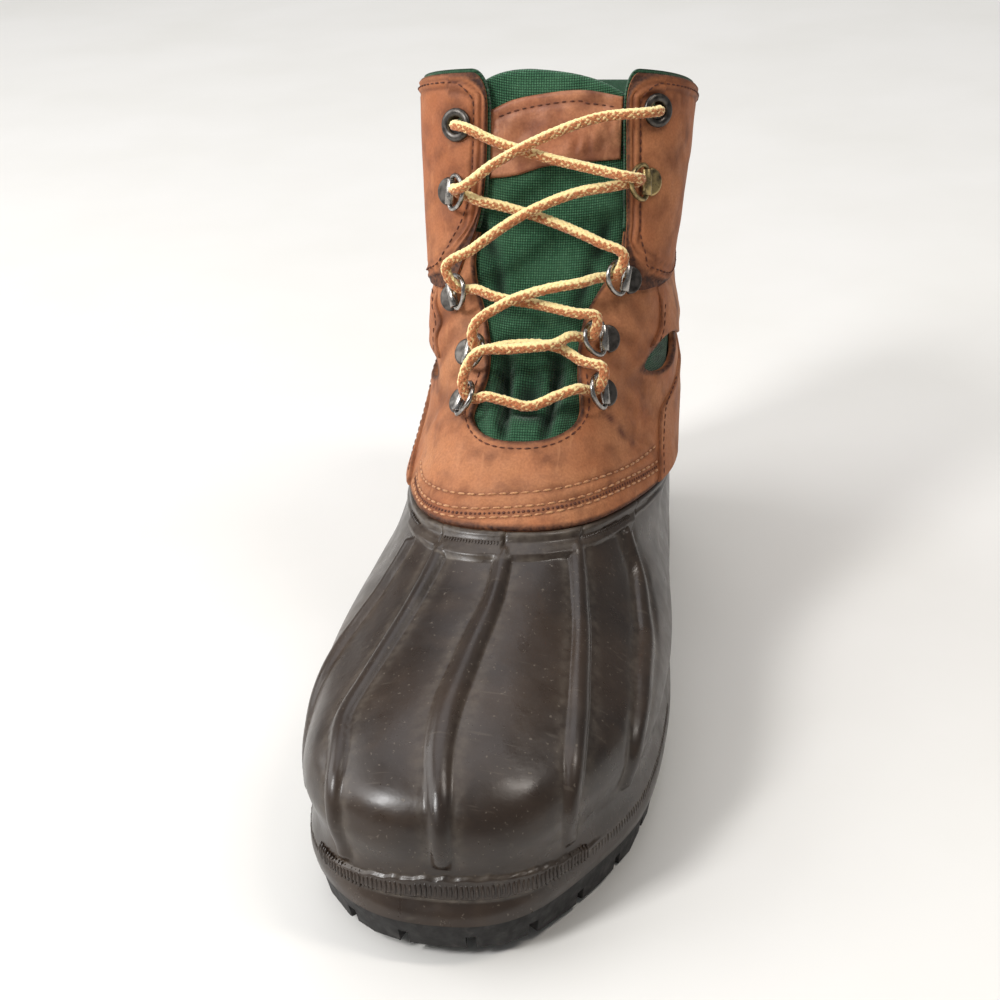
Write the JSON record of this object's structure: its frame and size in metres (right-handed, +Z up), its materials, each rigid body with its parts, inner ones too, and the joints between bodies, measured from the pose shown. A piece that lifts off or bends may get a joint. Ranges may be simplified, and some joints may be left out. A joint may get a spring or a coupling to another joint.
{
  "type": "duck boot",
  "caption": "Lace-up duck boot for the right foot: moulded rubber bottom with a lugged sole, leather shaft, cloth tongue, D-ring lacing.",
  "frame": {"origin": "centre of the boot's outline on the floor, under the middle of its length", "axes": "+Z up; -Y toward the toe and +Y toward the heel; +X toward the medial (inner) side of this right boot"},
  "size_m": [0.1092, 0.297, 0.2049],
  "materials": {
    "sole_rubber": "matt black rubber tread",
    "bottom_rubber": "semi-gloss dark brown moulded rubber",
    "leather": "oiled nubuck, orange brown",
    "cuff_leather": "oiled smooth leather, red brown",
    "green_cloth": "coarse plain weave, dark green",
    "footbed": "felt footbed",
    "gunmetal": "dark nickel plate",
    "lace": "round braid, yellow with tan flecks"
  },
  "bodies": {
    "root": {"outsole": "sole_rubber", "rubber_bottom": "bottom_rubber", "insole": "footbed", "leather_upper": "leather", "collar_cuff": "cuff_leather", "ankle_gusset_medial": "green_cloth", "ankle_gusset_lateral": "green_cloth", "tongue": "green_cloth", "eyelet_medial": "gunmetal", "eyelet_lateral": "gunmetal", "ring_clip_medial_2": "gunmetal", "ring_clip_medial_3": "gunmetal", "ring_clip_medial_4": "gunmetal", "ring_clip_medial_5": "gunmetal", "ring_clip_lateral_2": "gunmetal", "ring_clip_lateral_3": "gunmetal", "ring_clip_lateral_4": "gunmetal", "ring_clip_lateral_5": "gunmetal", "d_ring_medial_2": "gunmetal", "d_ring_medial_3": "gunmetal", "d_ring_medial_4": "gunmetal", "d_ring_medial_5": "gunmetal", "d_ring_lateral_2": "gunmetal", "d_ring_lateral_3": "gunmetal", "d_ring_lateral_4": "gunmetal", "d_ring_lateral_5": "gunmetal", "lace": "lace"}
  },
  "joints": []
}
